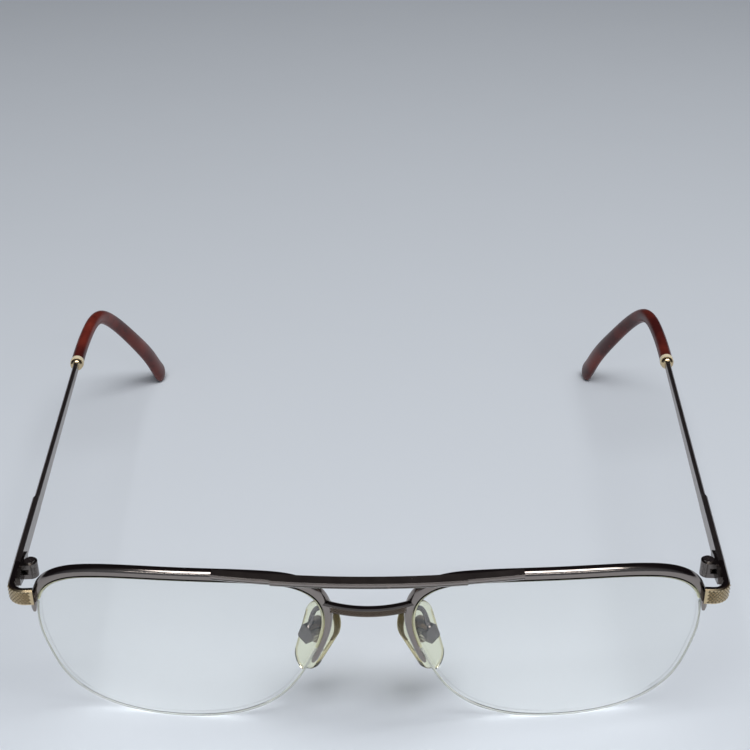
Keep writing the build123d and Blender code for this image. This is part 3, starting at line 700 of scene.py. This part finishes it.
def pad_shape():
    """Drop shaped pad with rounded edges, long way along its first axis."""
    lean = math.acos((PAD_LOW[1] - PAD_TOP[1]) / (PAD_TOP[0] - PAD_LOW[0]))
    rings = []
    for side in (-1, 1):
        for step in range(PAD_EDGE_STEPS + 1):
            share = step if side < 0 else PAD_EDGE_STEPS - step
            turn = math.pi / 2 * share / PAD_EDGE_STEPS
            rise = side * (PAD_HALF_THICK - PAD_ROUND * (1 - math.cos(turn)))
            inset = PAD_ROUND * (1 - math.sin(turn))
            ring = []
            for i in range(PAD_SIDES):
                heading = math.tau * (i + 0.5) / PAD_SIDES - math.pi
                middle, radius = PAD_TOP if abs(heading) < lean else PAD_LOW
                reach = radius - inset
                ring.append((middle + reach * math.cos(heading), reach * math.sin(heading), rise))
            rings.append(ring)
    return skin(rings)


class GlassesMetalSettings(bpy.types.PropertyGroup):
    plating: bpy.props.FloatVectorProperty(
        name="Plating",
        description="Colour of the dark plating",
        subtype="COLOR",
        size=3,
        default=(0.30, 0.262, 0.24),
    )
    gold: bpy.props.FloatVectorProperty(
        name="Gold",
        description="Colour of the gold plating",
        subtype="COLOR",
        size=3,
        default=(0.66, 0.52, 0.32),
    )


class GlassesClearSettings(bpy.types.PropertyGroup):
    pad: bpy.props.FloatVectorProperty(
        name="Pad tint",
        description="Tint of the nose pads",
        subtype="COLOR",
        size=3,
        default=(0.95, 0.95, 0.74),
    )


class GlassesStageSettings(bpy.types.PropertyGroup):
    floor: bpy.props.FloatVectorProperty(
        name="Floor",
        description="Colour of the floor",
        subtype="COLOR",
        size=3,
        default=(0.655, 0.70, 0.755),
    )
    lamp: bpy.props.FloatProperty(
        name="Lamp power",
        description="Power of the soft lamp",
        default=13.2,
        unit="POWER",
    )


class GLASSES_OT_front_metal(bpy.types.Operator):
    """Finish the rims, bar, bridge, end pieces and fittings"""

    bl_idname = "glasses.front_metal"
    bl_label = "Front metal"

    def execute(self, context):
        look = context.scene.glasses_metal
        plating = tuple(look.plating)
        dark = metal("dark plating", plating, rough=0.10)
        brushed = metal(
            "brushed plating", plating, rough=0.20, spread=0.10, grain=(0.02, 1.0, 1.0), grain_depth=0.6
        )
        dress(dark, "nose_bridge", "end_piece")
        for label, side in SIDES:
            piece = build("rounded_rim_" + label, *rim_shape(), FRONT_PLACE, dark, side)
            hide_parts("rim_" + label)
            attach(piece, "front")
        dress(brushed, "brow_bar")
        fitting = metal("hinge plating", HINGE_PLATING, rough=0.20, spread=0.12)
        dress(fitting, "hinge_front_leaf", "hinge_temple_leaf", "pad_arm", "pad_box")
        dress(metal("pad core", PAD_CORE, rough=0.30, spread=0.15), "pad_plate")
        gold = metal("gold plating", tuple(look.gold), rough=0.14, spread=0.12)
        for label, side in SIDES:
            gild_front(FRAME["nodes"]["end_piece_" + label], gold, side)
        bronze = metal("bronze plating", BRONZE, rough=0.08, spread=0.10)
        self.knurls(gold, bronze)
        self.screws(metal("screw metal", SCREW_METAL, rough=0.16, spread=0.10))
        return {"FINISHED"}

    def knurls(self, gold, bronze):
        radius = BRIDGE_ARC_RADIUS + BRIDGE_FACE_OUT
        centre = (0.0, BRIDGE_ARC_CENTRE_Y, BRIDGE_MID_Z)
        path = arc_points(centre, radius, -BRIDGE_HALF_TURN, BRIDGE_HALF_TURN, BRIDGE_PATH_STEPS)
        sizes = (BRIDGE_STUDS, BRIDGE_ROWS, BRIDGE_ROW_PITCH, BRIDGE_STUD_RISE)
        piece = knurl("bridge_knurl", path, *sizes, FRONT_PLACE, bronze)
        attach(piece, "front")
        radius = END_BEND_RADIUS + STRAP_OUTER
        bend = arc_points((END_BEND_X, END_BEND_Y, 0.0), radius, 0.0, END_KNURL_TURN, END_PATH_STEPS)
        path = [(END_KNURL_START_X, END_BEND_Y - radius, 0.0)] + bend
        sizes = (END_STUDS, END_ROWS, END_ROW_PITCH, END_STUD_RISE)
        for label, side in SIDES:
            piece = knurl("end_knurl_" + label, path, *sizes, HINGE_PLACE, gold, side)
            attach(piece, "front")

    def screws(self, bright):
        long_way, across, out = pad_axes()
        centre = Vector(PAD_CENTRE) + long_way * PAD_PLATE_RISE + out * PAD_PIN_OUT
        pad_screw_place = pad_place(centre, out, long_way, -across)
        hinge_screw = slotted_screw(
            radius=SCREW_HEAD_RADIUS,
            low=SCREW_HEAD_LOW,
            top=SCREW_HEAD_TOP,
            shank_radius=SCREW_SHANK_RADIUS,
            shank_low=SCREW_SHANK_LOW,
            slot_turn=SCREW_SLOT_TURN,
        )
        pad_screw = slotted_screw(
            radius=PAD_SCREW_RADIUS,
            low=PAD_HALF_BOX,
            top=PAD_HALF_BOX + PAD_SCREW_HEIGHT,
            shank_radius=PAD_SHANK_RADIUS,
            shank_low=-PAD_HALF_BOX,
            slot_turn=0.0,
        )
        for label, side in SIDES:
            for name, shape, place in (
                ("hinge_screw", hinge_screw, HINGE_PLACE), ("pad_screw", pad_screw, pad_screw_place)
            ):
                piece = build("slotted_" + name + "_" + label, *shape, place, bright, side)
                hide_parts(name + "_" + label)
                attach(piece, "front")


class GLASSES_OT_temples(bpy.types.Operator):
    """Finish the temples, their rings and their curved tips"""

    bl_idname = "glasses.temples"
    bl_label = "Temples"

    def execute(self, context):
        look = context.scene.glasses_metal
        brushed = metal(
            "temple plating",
            TEMPLE_PLATING,
            rough=0.24,
            spread=0.14,
            grain=(1.0, 0.05, 1.0),
            grain_depth=0.35,
        )
        dress(brushed, "temple")
        ring = satin("cream ring", RING_CREAMS, scale=300.0, polish_scale=200.0, rough=0.25)
        dress(ring, "tip_ring")
        tip = self.tip_finish()
        brass = metal("ferrule plating", tuple(look.gold), rough=0.16, spread=0.10)
        for label, side in SIDES:
            for name, shape, material, slot in (
                ("temple_tip", tip_shape(), tip, "tip_acetate"),
                ("ferrule", ferrule_shape(), brass, "gold_plating"),
            ):
                piece = build("smooth_" + name + "_" + label, *shape, HINGE_PLACE, material, side)
                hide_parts(name + "_" + label)
                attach(piece, "temple_" + label)
        return {"FINISHED"}

    def tip_finish(self):
        tip = Finish("mottled tips")
        clouds = tip.noise(scale=90.0, detail=5.0, stretch=(1.0, 0.6, 1.0)).sharpened(low=0.38, high=0.66)
        specks = tip.noise(scale=420.0, detail=4.0).sharpened(low=0.58, high=0.74)
        warm = tip.mix(clouds, *TIP_REDS)
        tip.set("Base Color", tip.mix(specks * TIP_SPECK_SHARE, warm, TIP_SPECK))
        tip.set("Roughness", tip.noise(scale=160.0) * TIP_POLISH_SPREAD + TIP_ROUGHNESS)
        tip.set("Coat Weight", tip.noise(scale=60.0) * TIP_COAT_SPREAD + TIP_COAT)
        tip.set("IOR", TIP_INDEX)
        tip.bump(tip.noise(scale=500.0), distance=0.00002, strength=0.3)
        return tip.material


class GLASSES_OT_clear_parts(bpy.types.Operator):
    """Finish the lenses, liners, nylon cords and nose pads"""

    bl_idname = "glasses.clear_parts"
    bl_label = "Clear parts"

    def execute(self, context):
        look = context.scene.glasses_clear
        dress(clear("lens glass", LENS_TINT, rough=0.0, index=LENS_INDEX), "lens")
        for lens in nodes("lens"):
            lens.visible_shadow = False
        # The pad's rounded edge gets a darker copy of the pad plastic, as painted shade for its outline.
        edge_painted_shade = tuple(part * share for part, share in zip(look.pad, PAD_EDGE_PAINTED_SHADE_SHARES))
        plastic = clear("pad plastic", tuple(look.pad), rough=0.02, index=PAD_INDEX)
        self.pads(plastic, clear("pad edge painted shade", edge_painted_shade, rough=0.05, index=PAD_INDEX))
        liner = satin("liner strip", LINER_YELLOWS, scale=500.0, polish_scale=300.0, rough=0.3)
        dress(liner, "rim_liner")
        line = satin(
            "nylon line", NYLON_SHADES, scale=400.0, polish_scale=300.0, rough=0.25, clearness=0.4
        )
        dress(line, "nylon_cord")
        return {"FINISHED"}

    def pads(self, plastic, edge):
        long_way, _, out = pad_axes()
        place = pad_place(Vector(PAD_CENTRE), long_way, out.cross(long_way), out)
        outer_faces = PAD_EDGE_STEPS * PAD_SIDES // 2
        for label, side in SIDES:
            piece = build("smooth_nose_pad_" + label, *pad_shape(), place, plastic, side)
            # Faces of the rounded edge take the darker copy: painted shade along the pad's outline.
            piece.data.materials.append(edge)
            for face in piece.data.polygons[outer_faces:-outer_faces]:
                if len(face.vertices) == 4:
                    face.material_index = 1
            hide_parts("nose_pad_" + label)
            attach(piece, "pad_" + label)


class GLASSES_OT_stage(bpy.types.Operator):
    """Floor, soft light and camera"""

    bl_idname = "glasses.stage"
    bl_label = "Stage"

    def execute(self, context):
        look = context.scene.glasses_stage
        scene = context.scene
        scene.view_settings.view_transform = "Standard"
        floor = flat_sheet("floor", FLOOR_SIZE)
        paper = Finish("pale paper")
        shade = tuple(part * FLOOR_SHADE_SHARE for part in look.floor)
        paper.set("Base Color", paper.mix(paper.noise(scale=3.0, detail=2.0), tuple(look.floor), shade))
        paper.set("Roughness", paper.noise(scale=40.0) * PAPER_POLISH_SPREAD + PAPER_ROUGHNESS)
        floor.data.materials.append(paper.material)
        scene.world = self.room()
        self.lamp("main lamp", look.lamp, MAIN_LAMP_SIZE, MAIN_LAMP_SPOT)
        self.lamp("strip lamp", look.lamp * STRIP_LAMP_SHARE, STRIP_LAMP_SIZE, STRIP_LAMP_SPOT)
        self.camera(scene)
        return {"FINISHED"}

    def room(self):
        """Dark room behind the object, so that its upper faces mirror little light."""
        world = bpy.data.worlds.new("soft room")
        world.use_nodes = True
        tree = world.node_tree
        heading = tree.nodes.new("ShaderNodeTexCoord")
        parts = tree.nodes.new("ShaderNodeSeparateXYZ")
        tree.links.new(heading.outputs["Generated"], parts.inputs[0])
        far = Wire(tree, parts.outputs["Y"]).sharpened(*ROOM_BAND)
        blend = tree.nodes.new("ShaderNodeMix")
        blend.data_type = "RGBA"
        feed(tree, far, blend.inputs["Factor"])
        blend.inputs[6].default_value = ROOM_NEAR
        blend.inputs[7].default_value = ROOM_FAR
        tree.links.new(blend.outputs[2], tree.nodes["Background"].inputs[0])
        tree.nodes["Background"].inputs[1].default_value = ROOM_STRENGTH
        return world

    def lamp(self, name, power, size, spot):
        data = bpy.data.lights.new(name, "AREA")
        data.energy = power
        data.shape = "RECTANGLE"
        data.size, data.size_y = size
        lamp = bpy.data.objects.new(name, data)
        lamp.location = spot
        lamp.rotation_euler = (-Vector(spot)).to_track_quat("-Z", "Y").to_euler()
        bpy.context.scene.collection.objects.link(lamp)

    def camera(self, scene):
        data = bpy.data.cameras.new("camera")
        data.sensor_width = CAMERA_SENSOR
        data.lens = CAMERA_LENS
        data.clip_start = CAMERA_CLIP_START
        camera = bpy.data.objects.new("camera", data)
        level = math.cos(CAMERA_ELEVATION)
        heading = (math.sin(CAMERA_AZIMUTH) * level, math.cos(CAMERA_AZIMUTH) * level)
        forward = Vector((*heading, -math.sin(CAMERA_ELEVATION)))
        across = forward.cross(Vector((0, 0, 1))).normalized()
        up = across.cross(forward)
        right = across * math.cos(CAMERA_ROLL) + up * math.sin(CAMERA_ROLL)
        top = up * math.cos(CAMERA_ROLL) - across * math.sin(CAMERA_ROLL)
        turn = Matrix((right, top, -forward)).transposed().to_4x4()
        camera.matrix_world = Matrix.Translation(CAMERA_SPOT) @ turn
        scene.collection.objects.link(camera)
        scene.camera = camera


def flat_sheet(name, size):
    half = size / 2
    mesh = bpy.data.meshes.new(name)
    corners = [(-half, -half, 0), (half, -half, 0), (half, half, 0), (-half, half, 0)]
    mesh.from_pydata(corners, [], [(0, 1, 2, 3)])
    sheet = bpy.data.objects.new(name, mesh)
    bpy.context.scene.collection.objects.link(sheet)
    return sheet


class GLASSES_PT_panel(bpy.types.Panel):
    bl_label = "Glasses"
    bl_idname = "GLASSES_PT_panel"
    bl_space_type = "VIEW_3D"
    bl_region_type = "UI"
    bl_category = "Glasses"

    def draw(self, context):
        column = self.layout.column()
        for operator in OPERATORS:
            column.operator(operator.bl_idname)
        shown = {
            "glasses_metal": ("plating", "gold"),
            "glasses_clear": ("pad",),
            "glasses_stage": ("floor", "lamp"),
        }
        for group, names in shown.items():
            for name in names:
                column.prop(getattr(context.scene, group), name)


GROUPS = {
    "glasses_metal": GlassesMetalSettings,
    "glasses_clear": GlassesClearSettings,
    "glasses_stage": GlassesStageSettings,
}
OPERATORS = (GLASSES_OT_front_metal, GLASSES_OT_temples, GLASSES_OT_clear_parts, GLASSES_OT_stage)


def register():
    for item in (*GROUPS.values(), *OPERATORS, GLASSES_PT_panel):
        bpy.utils.register_class(item)
    for name, group in GROUPS.items():
        setattr(bpy.types.Scene, name, bpy.props.PointerProperty(type=group))


def unregister():
    for name in GROUPS:
        delattr(bpy.types.Scene, name)
    for item in (GLASSES_PT_panel, *reversed(OPERATORS), *reversed(list(GROUPS.values()))):
        bpy.utils.unregister_class(item)


def main():
    register()
    FRAME.update(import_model())
    bpy.ops.glasses.front_metal()
    bpy.ops.glasses.temples()
    bpy.ops.glasses.clear_parts()
    bpy.ops.glasses.stage()


if __name__ == "__main__":
    main()
